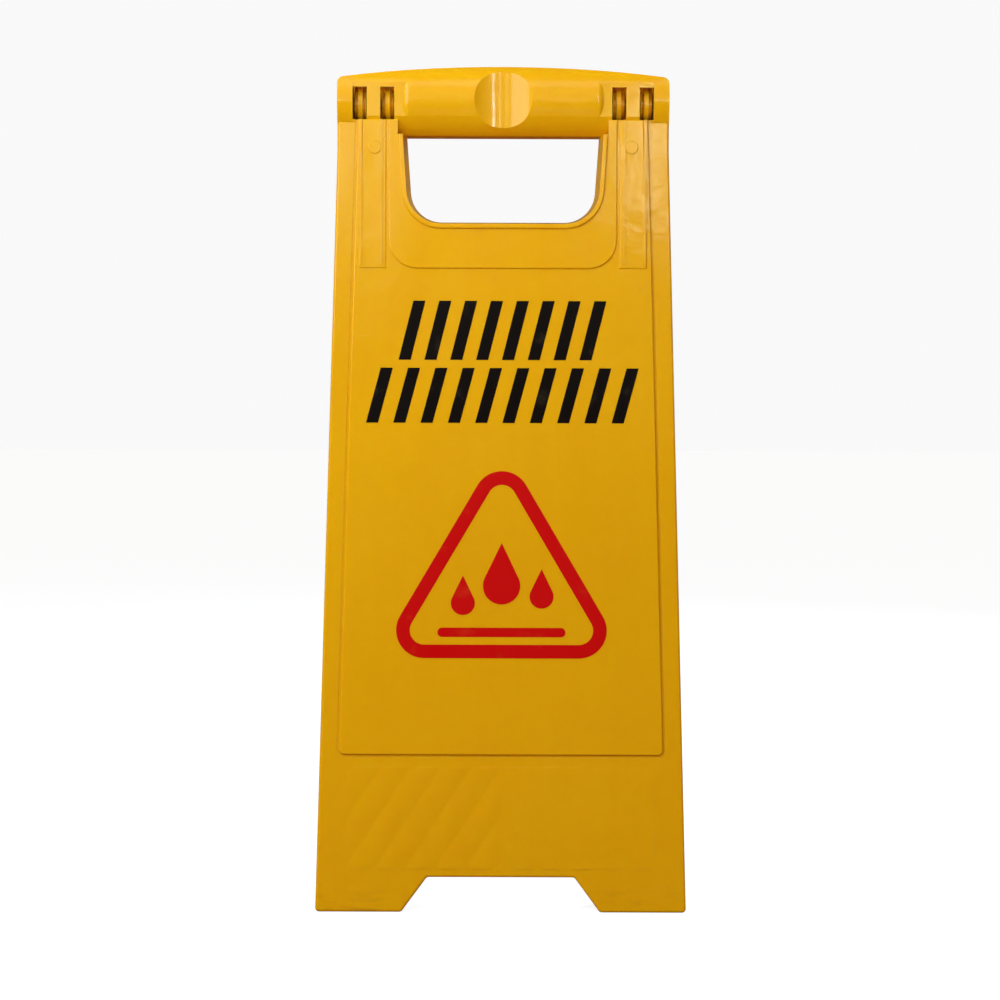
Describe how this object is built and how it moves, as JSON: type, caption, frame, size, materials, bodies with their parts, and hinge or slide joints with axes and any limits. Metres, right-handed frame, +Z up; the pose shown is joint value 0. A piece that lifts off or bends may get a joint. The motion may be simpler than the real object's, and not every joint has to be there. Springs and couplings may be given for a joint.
{
  "type": "folding floor sign",
  "caption": "Folding A-frame floor sign in yellow plastic with a carrying handle, hazard stripes and a red triangle with falling drops, hinged under the handle.",
  "frame": {"origin": "on the floor, in the middle of the folded sign's base, in the plane where the two panels meet", "axes": "+Z up, -Y the way the front panel faces, +X to the right of someone reading the front panel"},
  "size_m": [0.2798, 0.043, 0.635],
  "materials": {
    "yellow_plastic": "glossy injection moulded polypropylene, lightly scuffed",
    "pin_plastic": "smooth moulded nylon",
    "black_film": "satin heat transfer film",
    "red_film": "satin heat transfer film"
  },
  "bodies": {
    "front": {"front_panel": "yellow_plastic", "left_hinge_pin": "pin_plastic", "right_hinge_pin": "pin_plastic", "front_upper_stripes": "black_film", "front_lower_stripes": "black_film", "front_warning_triangle": "red_film", "front_drop_symbol": "red_film"},
    "rear": {"rear_panel": "yellow_plastic", "rear_upper_stripes": "black_film", "rear_lower_stripes": "black_film", "rear_warning_triangle": "red_film", "rear_drop_symbol": "red_film"}
  },
  "joints": [
    {"name": "rear_swing", "type": "hinge", "parent": "front", "child": "rear", "pos_m": [0, 0, 0.607], "axis": [1, 0, 0], "range_deg": [0, 28]}
  ]
}
